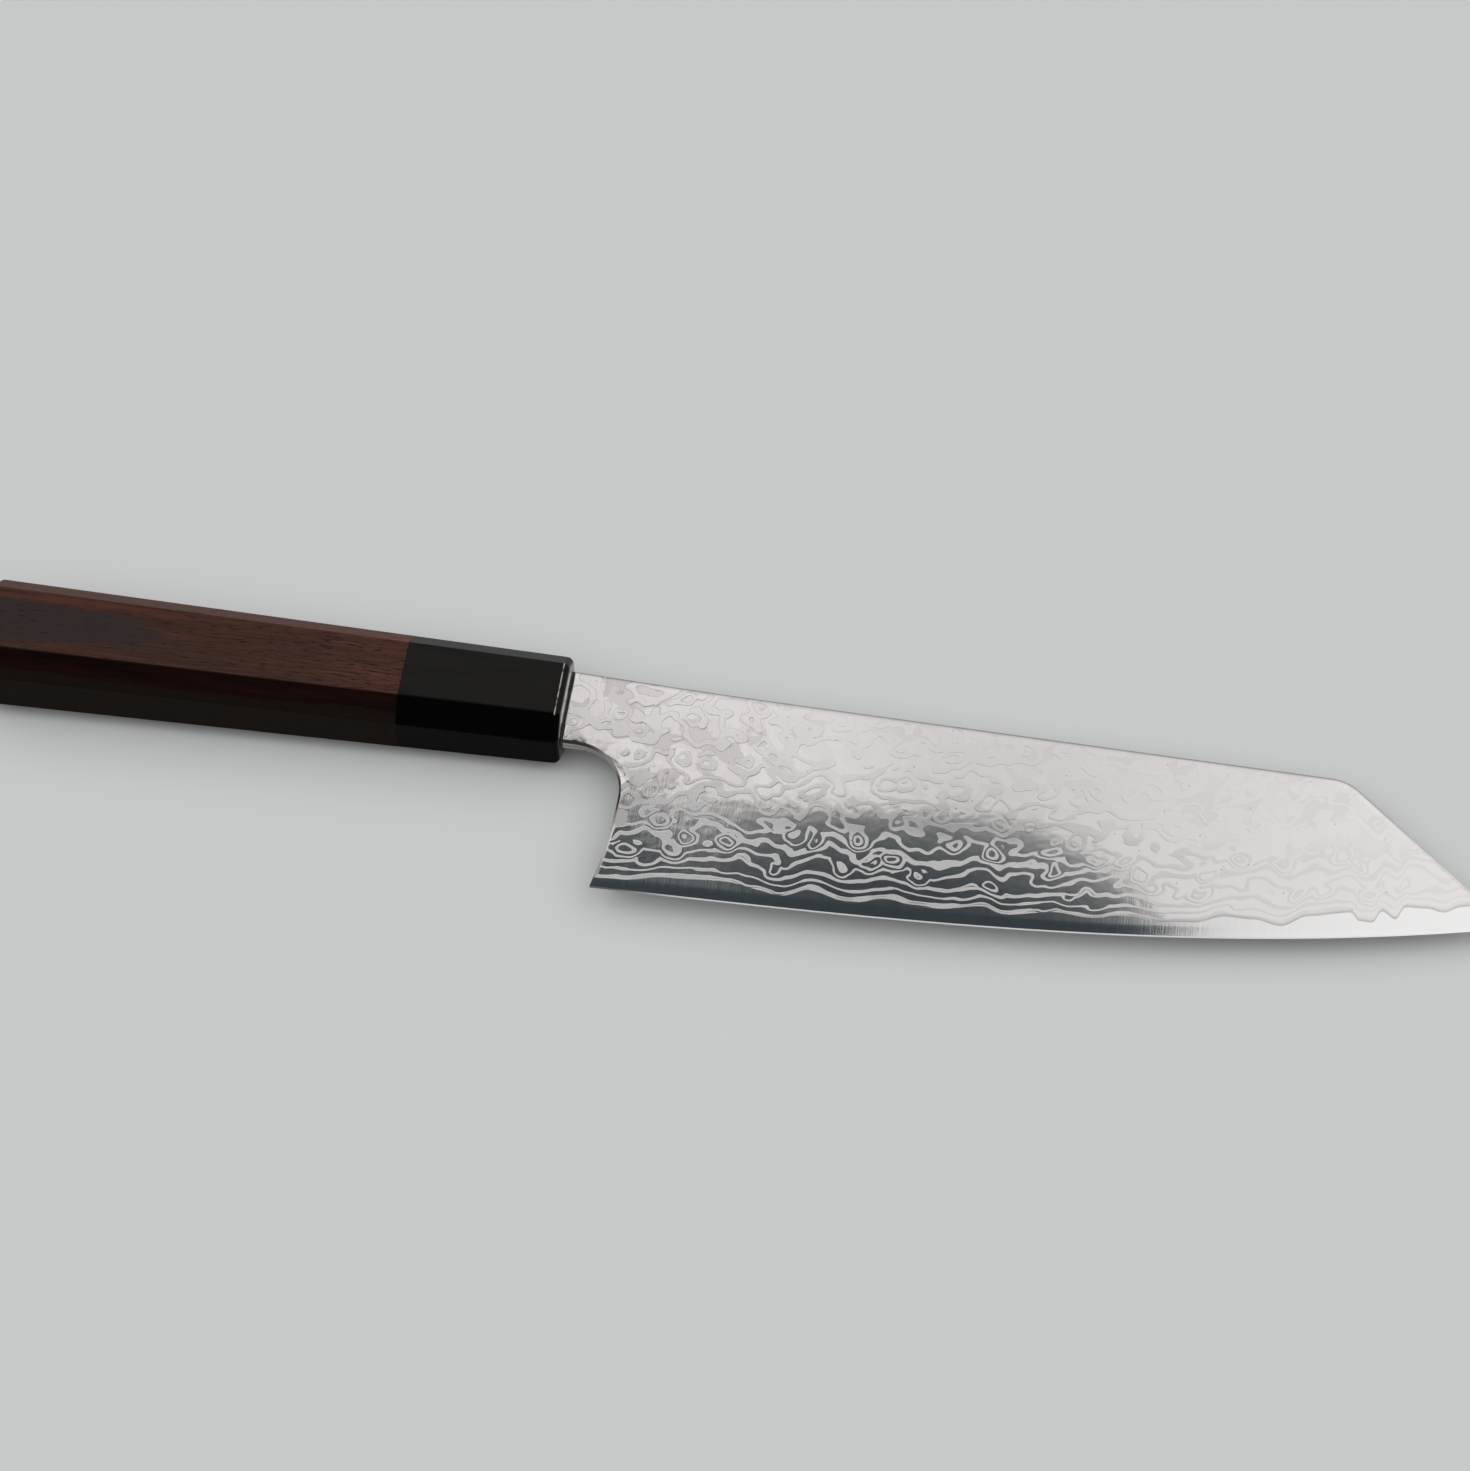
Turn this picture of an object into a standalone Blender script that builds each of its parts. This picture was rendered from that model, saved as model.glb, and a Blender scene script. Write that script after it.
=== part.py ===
"""Bunka kitchen knife: a three-layer patterned blade on an eight-sided two-piece handle.

Every piece is laid out in the knife's own frame and hangs from one empty, which lays the knife
on the table on the flat side of its handle. In the knife's frame X runs from the front face of
the ferrule to the tip, Y from the edge to the spine, and Z through the blade's thickness, with
X = Y = Z = 0 on the handle's axis. Lengths are in metres.
"""

import math

import bmesh
import bpy
from mathutils import Vector

# Blade seen from the side
EDGE_LENGTH = 0.185
HEEL_FROM_FERRULE = 0.0114
HEEL_BELOW_AXIS = 0.0408
EDGE_RISE_STRAIGHT = 0.0024
EDGE_RISE_BELLY = 0.01455
SPINE_ABOVE_AXIS = 0.00875
SPINE_FALL = 0.0030
TIP_SLOPE_LENGTH = 0.0347
TIP_SHOULDER_RADIUS = 0.009
CORE_STEEL_SHOWING = 0.0045
CORE_STEEL_SHOWING_AT_TIP = 0.0060
CUTTING_BEVEL_HEIGHT = 0.0009

# Choil, the hollow for a finger between the neck and the heel
NECK_BELOW_AXIS = 0.0084
NECK_STRAIGHT = 0.0034
CHOIL_RADIUS = 0.0105

# Blade through its thickness
NECK_THICKNESS = 0.0039
SHOULDER_THICKNESS = 0.0013
TAPER_POWER = 3
CORE_THICKNESS = 0.0005
CUTTING_BEVEL_THICKNESS = 0.00026
EDGE_THICKNESS = 0.00001
CLADDING_EDGE_STEP = 0.00006
FACE_CROWN = 0.30
NECK_FLARE = 0.022
CLADDING_STOP = 0.0060

# Tang, hidden in the handle
TANG_LENGTH = 0.092
TANG_HEIGHT = 0.008
TANG_END_HEIGHT = 0.005
TANG_THICKNESS = 0.0026
TANG_END_THICKNESS = 0.0020

# Handle: height is edge to spine, width is flat to flat through the blade's thickness
HANDLE_LENGTH = 0.1235
FERRULE_LENGTH = 0.034
FRONT_HEIGHT = 0.0210
FRONT_WIDTH = 0.0174
FRONT_CHAMFER = 0.00447
BUTT_HEIGHT = 0.0242
BUTT_WIDTH = 0.0204
BUTT_CHAMFER = 0.00476
FERRULE_NOSE_RADIUS = 0.0015
BUTT_EASING = 0.0012

# Dowel that joins ferrule and grip
DOWEL_DIAMETER = 0.012
DOWEL_LENGTH = 0.046
DOWEL_CHAMFER = 0.0006
FERRULE_FRONT_WALL = 0.008

# Resin seal between the neck and the ferrule
SEAL_SPACE = 0.0005
SEAL_INSET = 0.0002
TANG_SHOULDER_RUN = 0.0001

# Clearances
WELD_LINE = 0.00002
GLUE_LINE = 0.00005
FIT = 0.0003

# Fineness of the faceted shapes
FACE_ROWS = 5
BORE_SIDES = 32
NOSE_SEGMENTS = 4
ARC_STEPS = 10
BLADE_STATION_SPACING = 0.0085
NEAR = 1e-7

# Worked out from the sizes above
HEEL_X = HEEL_FROM_FERRULE
TIP_X = HEEL_X + EDGE_LENGTH
TIP_Y = -HEEL_BELOW_AXIS + EDGE_RISE_STRAIGHT + EDGE_RISE_BELLY
SHOULDER_X = TIP_X - TIP_SLOPE_LENGTH
SHOULDER_Y = SPINE_ABOVE_AXIS - SPINE_FALL
SPINE_SLOPE = -SPINE_FALL / SHOULDER_X
TIP_SLOPE = (TIP_Y - SHOULDER_Y) / TIP_SLOPE_LENGTH
HALF_CORE = CORE_THICKNESS / 2
NECK_END_X = SEAL_SPACE
TANG_FRONT_X = NECK_END_X - TANG_SHOULDER_RUN
CLADDING_END_X = TIP_X - CLADDING_STOP
CHOIL_X = NECK_STRAIGHT + CHOIL_RADIUS
DOWEL_FRONT_X = -FERRULE_FRONT_WALL
REST_TILT = math.atan((BUTT_WIDTH - FRONT_WIDTH) / 2 / HANDLE_LENGTH)


def clear_scene():
    """Take every object out of the scene."""
    for thing in list(bpy.data.objects):
        bpy.data.objects.remove(thing, do_unlink=True)


def make_collection(name):
    collection = bpy.data.collections.new(name)
    bpy.context.scene.collection.children.link(collection)
    return collection


def make_material(name, colour, roughness, metallic):
    """Principled material of one colour."""
    material = bpy.data.materials.new(name)
    material.use_nodes = True
    shader = material.node_tree.nodes["Principled BSDF"]
    shader.inputs["Base Color"].default_value = (*colour, 1.0)
    shader.inputs["Roughness"].default_value = roughness
    shader.inputs["Metallic"].default_value = metallic
    return material


def place(thing, collection, material=None):
    """Put an object in one collection, under the empty that lays the knife down."""
    for owner in list(thing.users_collection):
        owner.objects.unlink(thing)
    collection.objects.link(thing)
    thing.parent = REST
    if material is not None:
        thing.data.materials.clear()
        thing.data.materials.append(material)
    return thing


def smooth_round_parts(mesh, angle=math.radians(28)):
    mesh.shade_smooth()
    mesh.set_sharp_from_angle(angle=angle)


def smoothstep(t):
    t = min(max(t, 0.0), 1.0)
    return t * t * (3 - 2 * t)


def arc(centre, radius, start, end, steps):
    """Points along a circle's arc, with angles in radians."""
    angles = [start + (end - start) * i / steps for i in range(steps + 1)]
    return [(centre[0] + radius * math.cos(a), centre[1] + radius * math.sin(a)) for a in angles]


def lofted(name, rings):
    """Closed mesh through rings of points; a ring of one point closes it as a cone."""
    bm = bmesh.new()
    loops = [[bm.verts.new(point) for point in ring] for ring in rings]
    for near, far in zip(loops, loops[1:]):
        for i, corner in enumerate(near):
            following = near[(i + 1) % len(near)]
            if len(far) == 1:
                bm.faces.new((corner, following, far[0]))
            else:
                bm.faces.new((corner, following, far[(i + 1) % len(far)], far[i]))
    for end in (loops[0], loops[-1]):
        if len(end) > 2:
            bm.faces.new(end)
    bmesh.ops.recalc_face_normals(bm, faces=bm.faces)
    mesh = bpy.data.meshes.new(name)
    bm.to_mesh(mesh)
    bm.free()
    return bpy.data.objects.new(name, mesh)


def cut(thing, cutter):
    """Boolean difference, with the exact solver."""
    modifier = thing.modifiers.new("cut_" + cutter.name, "BOOLEAN")
    modifier.operation = "DIFFERENCE"
    modifier.solver = "EXACT"
    modifier.object = cutter


def make_cutter(thing):
    place(thing, CUTTERS)
    thing.display_type = "WIRE"
    thing.hide_render = True
    return thing


def box(name, low, high):
    """Box between two corners."""
    size = [b - a for a, b in zip(low, high)]
    centre = [(a + b) / 2 for a, b in zip(low, high)]
    bpy.ops.mesh.primitive_cube_add(size=1, location=centre)
    block = bpy.context.object
    block.name = name
    block.scale = size
    bpy.ops.object.transform_apply(location=False, rotation=False, scale=True)
    return block


def rod(name, diameter, back_x, front_x):
    """Cylinder along the handle's axis."""
    bpy.ops.mesh.primitive_cylinder_add(
        vertices=BORE_SIDES, radius=diameter / 2, depth=front_x - back_x,
        location=((front_x + back_x) / 2, 0, 0), rotation=(0, math.pi / 2, 0))
    cylinder = bpy.context.object
    cylinder.name = name
    smooth_round_parts(cylinder.data)
    return cylinder


def edge_y(x):
    """The cutting edge: a straight rise from the heel and a cubic belly."""
    t = (x - HEEL_X) / EDGE_LENGTH
    return -HEEL_BELOW_AXIS + EDGE_RISE_STRAIGHT * t + EDGE_RISE_BELLY * max(t, 0.0) ** 3


def shoulder_arc():
    """Centre of the rounding between spine and tip slope, and where it starts and ends."""
    turn = math.atan(SPINE_SLOPE) - math.atan(TIP_SLOPE)
    reach = TIP_SHOULDER_RADIUS * math.tan(turn / 2)
    along_spine = Vector((1, SPINE_SLOPE)).normalized()
    along_tip = Vector((1, TIP_SLOPE)).normalized()
    corner = Vector((SHOULDER_X, SHOULDER_Y))
    start = corner - along_spine * reach
    end = corner + along_tip * reach
    centre = start + Vector((along_spine.y, -along_spine.x)) * TIP_SHOULDER_RADIUS
    return centre, start.x, end.x


def spine_y(x):
    """The spine, its rounded shoulder and the straight slope to the tip."""
    centre, start, end = shoulder_arc()
    if x <= start:
        return SPINE_ABOVE_AXIS + SPINE_SLOPE * x
    if x < end:
        return centre.y + math.sqrt(TIP_SHOULDER_RADIUS ** 2 - (x - centre.x) ** 2)
    return SHOULDER_Y + TIP_SLOPE * (x - SHOULDER_X)


def cladding_y(x):
    """Line where the patterned cladding ends and the core steel shows."""
    t = smoothstep((x - HEEL_X) / EDGE_LENGTH)
    band = CORE_STEEL_SHOWING + (CORE_STEEL_SHOWING_AT_TIP - CORE_STEEL_SHOWING) * t
    return edge_y(x) + min(band, 0.6 * (spine_y(x) - edge_y(x)))


def bevel_y(x):
    """Upper line of the cutting bevel."""
    return edge_y(x) + min(CUTTING_BEVEL_HEIGHT, 0.2 * (spine_y(x) - edge_y(x)))


def half_spine(x):
    """Half the blade's thickness at the spine: thick at the neck, thin at the tip."""
    t = min(max(x / SHOULDER_X, 0.0), 1.0)
    return (SHOULDER_THICKNESS + (NECK_THICKNESS - SHOULDER_THICKNESS) * (1 - t) ** TAPER_POWER) / 2


def half_face(x, y):
    """Half the blade's thickness at a point of the cladding's outer face."""
    low = cladding_y(x)
    t = (y - low) / (spine_y(x) - low)
    foot = HALF_CORE + WELD_LINE + CLADDING_EDGE_STEP
    depth = max(TIP_X - SHOULDER_X, NEAR)
    spine = half_spine(x) - (half_spine(x) - foot) * max(x - SHOULDER_X, 0.0) / depth
    ground = foot + (spine - foot) * t * (1 + FACE_CROWN * (1 - t))
    away = math.hypot(max(x, 0.0), max(-NECK_BELOW_AXIS - y, 0.0))
    return ground + (spine - ground) * smoothstep(1 - away / NECK_FLARE)


def blade_stations(end):
    """Places along the blade where its section is drawn."""
    centre, start, stop = shoulder_arc()
    fixed = [NECK_END_X, NECK_STRAIGHT, CHOIL_X, start, SHOULDER_X, stop, CLADDING_END_X]
    fixed = sorted(x for x in fixed if x < end) + [end]
    stations = []
    for near, far in zip(fixed, fixed[1:]):
        steps = max(1, round((far - near) / BLADE_STATION_SPACING))
        stations += [near + (far - near) * i / steps for i in range(steps)]
    return stations + [end]


def tang_halves(x):
    """Half the tang's height and half its thickness at a place behind the neck."""
    t = (TANG_FRONT_X - x) / (TANG_FRONT_X + TANG_LENGTH)
    height = TANG_HEIGHT + (TANG_END_HEIGHT - TANG_HEIGHT) * t
    thickness = TANG_THICKNESS + (TANG_END_THICKNESS - TANG_THICKNESS) * t
    return height / 2, thickness / 2


def core_ring(x):
    """Section of the core steel, from the spine round the edge and back."""
    side = [(spine_y(x), HALF_CORE), (cladding_y(x), HALF_CORE),
            (bevel_y(x), CUTTING_BEVEL_THICKNESS / 2), (edge_y(x), EDGE_THICKNESS / 2)]
    if x > CLADDING_END_X:
        left = (TIP_X - x) / CLADDING_STOP
        side = [(y, max(z * left, EDGE_THICKNESS / 2)) for y, z in side]
    other_side = [(y, -z) for y, z in reversed(side)]
    return [(x, y, z) for y, z in side + other_side]


def core_tang_ring(x):
    half_height = tang_halves(x)[0]
    side = [(half_height * (1 - 2 * row / 3), HALF_CORE) for row in range(4)]
    other_side = [(y, -z) for y, z in reversed(side)]
    return [(x, y, z) for y, z in side + other_side]


def cladding_ring(x):
    """Section of the upper cladding: a flat inner side and a ground outer face."""
    low, high = cladding_y(x), spine_y(x)
    inner = HALF_CORE + WELD_LINE
    heights = [low + (high - low) * row / FACE_ROWS for row in range(FACE_ROWS + 1)]
    outer = [(x, y, half_face(x, y)) for y in heights]
    return [(x, high, inner), (x, low, inner)] + outer


def cladding_tang_ring(x):
    half_height, half_thickness = tang_halves(x)
    inner = HALF_CORE + WELD_LINE
    heights = [half_height * (2 * row / FACE_ROWS - 1) for row in range(FACE_ROWS + 1)]
    outer = [(x, y, half_thickness) for y in heights]
    return [(x, half_height, inner), (x, -half_height, inner)] + outer


def choil_cutter():
    """Everything behind the heel and under the neck, cut away through the thickness."""
    centre = (NECK_STRAIGHT, -NECK_BELOW_AXIS - CHOIL_RADIUS)
    outline = [(-NECK_STRAIGHT, -NECK_BELOW_AXIS)]
    outline += arc(centre, CHOIL_RADIUS, math.pi / 2, 0, ARC_STEPS)
    back = CHOIL_X - HEEL_X
    drop = HEEL_BELOW_AXIS + centre[1]
    heel_radius = (back ** 2 + drop ** 2) / (2 * back)
    sweep = 1.3 * math.asin(drop / heel_radius)
    outline += arc((CHOIL_X - heel_radius, centre[1]), heel_radius, 0, -sweep, ARC_STEPS)[1:]
    outline += [(-NECK_STRAIGHT, outline[-1][1])]
    curve = bpy.data.curves.new("choil_outline", "CURVE")
    curve.dimensions = "2D"
    curve.fill_mode = "BOTH"
    curve.extrude = NECK_THICKNESS
    spline = curve.splines.new("POLY")
    spline.points.add(len(outline) - 1)
    for point, (x, y) in zip(spline.points, outline):
        point.co = (x, y, 0, 1)
    spline.use_cyclic_u = True
    flat = bpy.data.objects.new("choil_outline", curve)
    bpy.context.scene.collection.objects.link(flat)
    bpy.context.view_layer.update()
    evaluated = flat.evaluated_get(bpy.context.evaluated_depsgraph_get())
    mesh = bpy.data.meshes.new_from_object(evaluated)
    bpy.data.objects.remove(flat, do_unlink=True)
    bm = bmesh.new()
    bm.from_mesh(mesh)
    bmesh.ops.remove_doubles(bm, verts=bm.verts, dist=NEAR)
    bmesh.ops.recalc_face_normals(bm, faces=bm.faces)
    bm.to_mesh(mesh)
    bm.free()
    return make_cutter(bpy.data.objects.new("choil_cutter", mesh))


def octagon(x):
    """Section of the handle at a place along it, tapering from butt to front."""
    t = -x / HANDLE_LENGTH
    half_height = (FRONT_HEIGHT + (BUTT_HEIGHT - FRONT_HEIGHT) * t) / 2
    half_width = (FRONT_WIDTH + (BUTT_WIDTH - FRONT_WIDTH) * t) / 2
    chamfer = FRONT_CHAMFER + (BUTT_CHAMFER - FRONT_CHAMFER) * t
    quarter = [(half_height, half_width - chamfer), (half_height - chamfer, half_width)]
    corners = quarter + [(-y, z) for y, z in reversed(quarter)]
    corners += [(-y, -z) for y, z in corners]
    return [(x, y, z) for y, z in corners]


def ease_end(thing, end_x, radius):
    """Round the edges round one end face of a handle piece."""
    bm = bmesh.new()
    bm.from_mesh(thing.data)
    rim = [e for e in bm.edges if all(abs(v.co.x - end_x) < NEAR for v in e.verts)]
    bmesh.ops.bevel(bm, geom=rim, offset=radius, offset_type="OFFSET", segments=NOSE_SEGMENTS,
                    profile=0.5, affect="EDGES")
    bm.to_mesh(thing.data)
    bm.free()
    smooth_round_parts(thing.data)


def make_blade():
    """Core steel with its tang, and the two claddings forged on to it."""
    choil = choil_cutter()
    tang_end = -TANG_LENGTH
    core_rings = [core_tang_ring(tang_end), core_tang_ring(TANG_FRONT_X)]
    core_rings += [core_ring(x) for x in blade_stations(TIP_X)[:-1]]
    core_rings += [[(TIP_X, TIP_Y, 0.0)]]
    core = place(lofted("blade_core", core_rings), KNIFE, CORE_STEEL)
    cut(core, choil)
    rings = [cladding_tang_ring(tang_end), cladding_tang_ring(TANG_FRONT_X)]
    rings += [cladding_ring(x) for x in blade_stations(CLADDING_END_X)]
    for name, side in (("cladding_front", 1), ("cladding_back", -1)):
        sided = [[(x, y, side * z) for x, y, z in ring] for ring in rings]
        cladding = place(lofted(name, sided), KNIFE, PATTERNED_STEEL)
        cut(cladding, choil)
        smooth_round_parts(cladding.data)


def tang_slot():
    """Slot for the tang, through the ferrule's front wall and the whole dowel."""
    end = DOWEL_FRONT_X - DOWEL_LENGTH - 2 * FIT
    half_height = TANG_HEIGHT / 2 + FIT
    half_thickness = TANG_THICKNESS / 2 + FIT
    return make_cutter(box("tang_slot", (end, -half_height, -half_thickness),
                           (2 * SEAL_SPACE, half_height, half_thickness)))


def make_ferrule(slot):
    back = -FERRULE_LENGTH
    ferrule = place(lofted("ferrule", [octagon(back), octagon(0.0)]), KNIFE, BLACK_RESIN_WOOD)
    ease_end(ferrule, 0.0, FERRULE_NOSE_RADIUS)
    bore = make_cutter(rod("ferrule_bore", DOWEL_DIAMETER + FIT, back - FIT, DOWEL_FRONT_X))
    cut(ferrule, bore)
    cut(ferrule, slot)


def make_grip():
    """Wooden part of the handle, bored for the dowel and for the end of the tang."""
    front = -FERRULE_LENGTH - GLUE_LINE
    butt = -HANDLE_LENGTH
    grip = place(lofted("handle_grip", [octagon(butt), octagon(front)]), KNIFE, ROSEWOOD)
    ease_end(grip, butt, BUTT_EASING)
    bore_end = DOWEL_FRONT_X - DOWEL_LENGTH - 2 * FIT
    bore = make_cutter(rod("grip_bore", DOWEL_DIAMETER + FIT, bore_end, front + FIT))
    cut(grip, bore)
    half_height, half_thickness = (half + FIT for half in tang_halves(bore_end))
    hole = make_cutter(box("tang_hole", (-TANG_LENGTH - FIT, -half_height, -half_thickness),
                           (bore_end + FIT, half_height, half_thickness)))
    cut(grip, hole)


def make_dowel(slot):
    """Round dowel glued into ferrule and grip, slotted for the tang."""
    front = DOWEL_FRONT_X - FIT
    dowel = place(rod("tenon_dowel", DOWEL_DIAMETER, front - DOWEL_LENGTH, front), KNIFE, PALE_WOOD)
    bevel = dowel.modifiers.new("chamfered_ends", "BEVEL")
    bevel.width = DOWEL_CHAMFER
    bevel.segments = 1
    bevel.limit_method = "ANGLE"
    bevel.angle_limit = math.radians(60)
    cut(dowel, slot)


def make_seal():
    """Thin bed of black resin round the tang, between the neck and the ferrule's front face."""
    half_width = NECK_THICKNESS / 2 - SEAL_INSET
    low = (GLUE_LINE, -NECK_BELOW_AXIS + SEAL_INSET, -half_width)
    high = (TANG_FRONT_X - GLUE_LINE, SPINE_ABOVE_AXIS - SEAL_INSET, half_width)
    seal = place(box("tang_seal", low, high), KNIFE, BLACK_RESIN)
    half_height = TANG_HEIGHT / 2 + GLUE_LINE
    half_thickness = TANG_THICKNESS / 2 + GLUE_LINE
    hole = make_cutter(box("seal_hole", (-SEAL_SPACE, -half_height, -half_thickness),
                           (2 * SEAL_SPACE, half_height, half_thickness)))
    cut(seal, hole)


def lay_down(rest):
    """Lay the knife on its handle's flat side, with the world's origin under its middle."""
    sine, cosine = math.sin(REST_TILT), math.cos(REST_TILT)
    front = TIP_X * cosine
    back = -HANDLE_LENGTH * cosine - (BUTT_WIDTH / 2 - BUTT_EASING) * sine
    top = max(BUTT_HEIGHT / 2, SPINE_ABOVE_AXIS)
    bottom = -HEEL_BELOW_AXIS
    rest.rotation_euler = (0, REST_TILT, 0)
    rest.location = (-(front + back) / 2, -(top + bottom) / 2, FRONT_WIDTH / 2 * cosine)


clear_scene()
KNIFE = make_collection("bunka_knife")
CUTTERS = make_collection("cutters")
CORE_STEEL = make_material("core_steel", (0.36, 0.38, 0.40), 0.28, 1.0)
PATTERNED_STEEL = make_material("patterned_steel", (0.62, 0.60, 0.60), 0.32, 1.0)
BLACK_RESIN_WOOD = make_material("black_resin_wood", (0.018, 0.017, 0.015), 0.16, 0.0)
ROSEWOOD = make_material("rosewood", (0.075, 0.032, 0.024), 0.42, 0.0)
PALE_WOOD = make_material("pale_wood", (0.62, 0.47, 0.29), 0.6, 0.0)
BLACK_RESIN = make_material("black_resin", (0.02, 0.018, 0.016), 0.4, 0.0)

REST = bpy.data.objects.new("knife_rest", None)
KNIFE.objects.link(REST)
lay_down(REST)

make_blade()
slot = tang_slot()
make_ferrule(slot)
make_grip()
make_dowel(slot)
make_seal()
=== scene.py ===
import math
from bisect import bisect

import bmesh
import bpy
from mathutils import Matrix, Vector


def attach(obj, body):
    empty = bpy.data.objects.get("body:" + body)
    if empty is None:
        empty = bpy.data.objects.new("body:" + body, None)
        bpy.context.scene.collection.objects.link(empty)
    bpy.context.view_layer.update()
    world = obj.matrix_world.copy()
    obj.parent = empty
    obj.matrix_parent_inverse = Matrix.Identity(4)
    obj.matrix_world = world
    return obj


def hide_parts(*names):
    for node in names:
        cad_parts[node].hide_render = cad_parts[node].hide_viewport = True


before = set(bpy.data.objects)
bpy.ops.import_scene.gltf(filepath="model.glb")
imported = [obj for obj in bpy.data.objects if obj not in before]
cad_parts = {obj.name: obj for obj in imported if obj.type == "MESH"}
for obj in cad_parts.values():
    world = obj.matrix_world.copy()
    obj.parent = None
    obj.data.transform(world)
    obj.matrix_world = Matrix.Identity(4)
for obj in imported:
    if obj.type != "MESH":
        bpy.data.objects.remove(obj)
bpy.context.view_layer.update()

# Lengths are in metres. Blade and handle are drawn in the knife's own frame: X runs from the
# ferrule's front face to the tip, Y from the edge to the spine, Z through the blade, and the
# origin is on the handle's axis. laid_down() then puts them on the table, as the CAD lies.

# Blade seen from the side
EDGE_LENGTH = 0.185
HEEL_X = 0.0114
HEEL_BELOW_AXIS = 0.0408
EDGE_RISE_STRAIGHT = 0.0024
EDGE_RISE_BELLY = 0.01455
SPINE_ABOVE_AXIS = 0.00875
SPINE_FALL = 0.0030
TIP_SLOPE_LENGTH = 0.0347
TIP_SHOULDER_RADIUS = 0.009
NECK_END_X = 0.0005
NECK_BELOW_AXIS = 0.0084
NECK_STRAIGHT = 0.0034
CHOIL_RADIUS = 0.0105
NECK_ROOT_X = 0.040

# Blade through its thickness, as halves
NECK_HALF = 0.0020
SHOULDER_HALF = 0.00065
TAPER_POWER = 6
BEVEL_HEIGHT = 0.0005
BEVEL_HALF = 0.00011
EDGE_HALF = 0.000005
FACE_CROWN = 0.30
NECK_CROWN = 0.70
NECK_CROWN_FADE = 0.045
CORE_HALF = 0.00036
WELD_STEP = 0.00003
WELD_GAP = 0.00002
SPINE_EASING = 0.0008
SPINE_EASING_DEPTH = 0.00050
CHOIL_BEVEL = 0.0005
CHOIL_BEVEL_DEPTH = 0.00062
EASING_SHARE = 0.85
EASING_RINGS = (0.0, 0.00006, 0.00017, 0.00032, 0.0005, 0.0008)

# The weld between core and cladding: distance from the ferrule and height above the edge
WELD_LINE = (
    (0.0100, 0.0023), (0.0174, 0.0026), (0.0266, 0.0042), (0.0384, 0.0048), (0.0503, 0.0030),
    (0.0559, 0.0048), (0.0639, 0.0030), (0.0722, 0.0045), (0.0775, 0.0034), (0.0820, 0.0034),
    (0.0910, 0.0047), (0.0950, 0.0032), (0.1057, 0.0045), (0.1126, 0.0037), (0.1204, 0.0044),
    (0.1260, 0.0035), (0.1336, 0.0035), (0.1393, 0.0050), (0.1453, 0.0044), (0.1508, 0.0029),
    (0.1560, 0.0051), (0.1645, 0.0058), (0.1663, 0.0037), (0.1690, 0.0033), (0.1706, 0.0058),
    (0.1735, 0.0038), (0.1752, 0.0065), (0.1792, 0.0060), (0.1832, 0.0048), (0.1863, 0.0058),
    (0.1964, 0.0058))

# Tang
TANG_LENGTH = 0.092
TANG_HEIGHT = 0.008
TANG_END_HEIGHT = 0.005
TANG_THICKNESS = 0.0026
TANG_END_THICKNESS = 0.0020
TANG_IN_NECK = 0.004

# Handle
HANDLE_LENGTH = 0.1235
FRONT_WIDTH = 0.0174
BUTT_WIDTH = 0.0204
BUTT_HEIGHT = 0.0242
BUTT_EASING = 0.0012
LONG_EDGE_EASING = 0.00028
HANDLE_HULL_RADIUS = 0.0068

# Meshes: columns and rows of the blade's grid, then steps, lengths, and angles in degrees
NECK_COLUMNS = 44
BLADE_COLUMNS = 380
HEEL_ROWS = 14
NECK_ROWS = 26
HEEL_SEARCH_STEPS = 12
TIP_SEARCH_STEPS = 40
LONG_EDGE_SEGMENTS = 3
MERGE = 1e-7
CAD_MERGE = 1e-6
LONG_EDGE_RUN = 1e-5
SAME_FACE_ANGLE = 1.0
CORE_SHARP_ANGLE = 7
CLADDING_SHARP_ANGLE = 22
HANDLE_SHARP_ANGLE = 32

# Worked out from the sizes above
TIP_X = HEEL_X + EDGE_LENGTH
TIP_Y = -HEEL_BELOW_AXIS + EDGE_RISE_STRAIGHT + EDGE_RISE_BELLY
SHOULDER_X = TIP_X - TIP_SLOPE_LENGTH
SHOULDER_Y = SPINE_ABOVE_AXIS - SPINE_FALL
SPINE_SLOPE = -SPINE_FALL / SHOULDER_X
TIP_SLOPE = (TIP_Y - SHOULDER_Y) / TIP_SLOPE_LENGTH
EASED_LENGTH = 6 * EASING_RINGS[-1]
CHOIL_X = NECK_STRAIGHT + CHOIL_RADIUS
CHOIL_Y = -NECK_BELOW_AXIS - CHOIL_RADIUS
HEEL_ARC_RADIUS = ((CHOIL_X - HEEL_X) ** 2 + (HEEL_BELOW_AXIS + CHOIL_Y) ** 2) / (
    2 * (CHOIL_X - HEEL_X))
REST_TILT = math.atan((BUTT_WIDTH - FRONT_WIDTH) / 2 / HANDLE_LENGTH)

# Patterned steel, in millimetres: how its layers rise, the length and height of the cells of
# each pattern, and how many layers a fold, a crimp and a dimple lift
LAYERS_PER_MM = 0.32
RISE_FADE = 25.0
SLOPE_STEP = 0.15
EVEN_SLOPE = 0.85 * LAYERS_PER_MM
FOLD_CELL = (7.5, 5.4)
FOLD_LIFT = 3.0
CRIMP_CELL = (3.0, 2.6)
CRIMP_LIFT = 0.75
CRIMP_PULL = 2.2
DIMPLE_CELL = (8.6, 7.4)
DIMPLE_LIFT = 1.7
SINGLE_LINE_SHIFT = 0.40
PAIRED_LINE_SHIFT = 0.355
SWELLING_CELL = (5.0, 3.5)
PATCH_CELL = (4.8, 3.9)
PATCH_WARP_CELL = (2.6, 2.2)
RIPPLE_CELL = (2.8, 2.2)
BACK_SHIFT = 3.7
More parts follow.
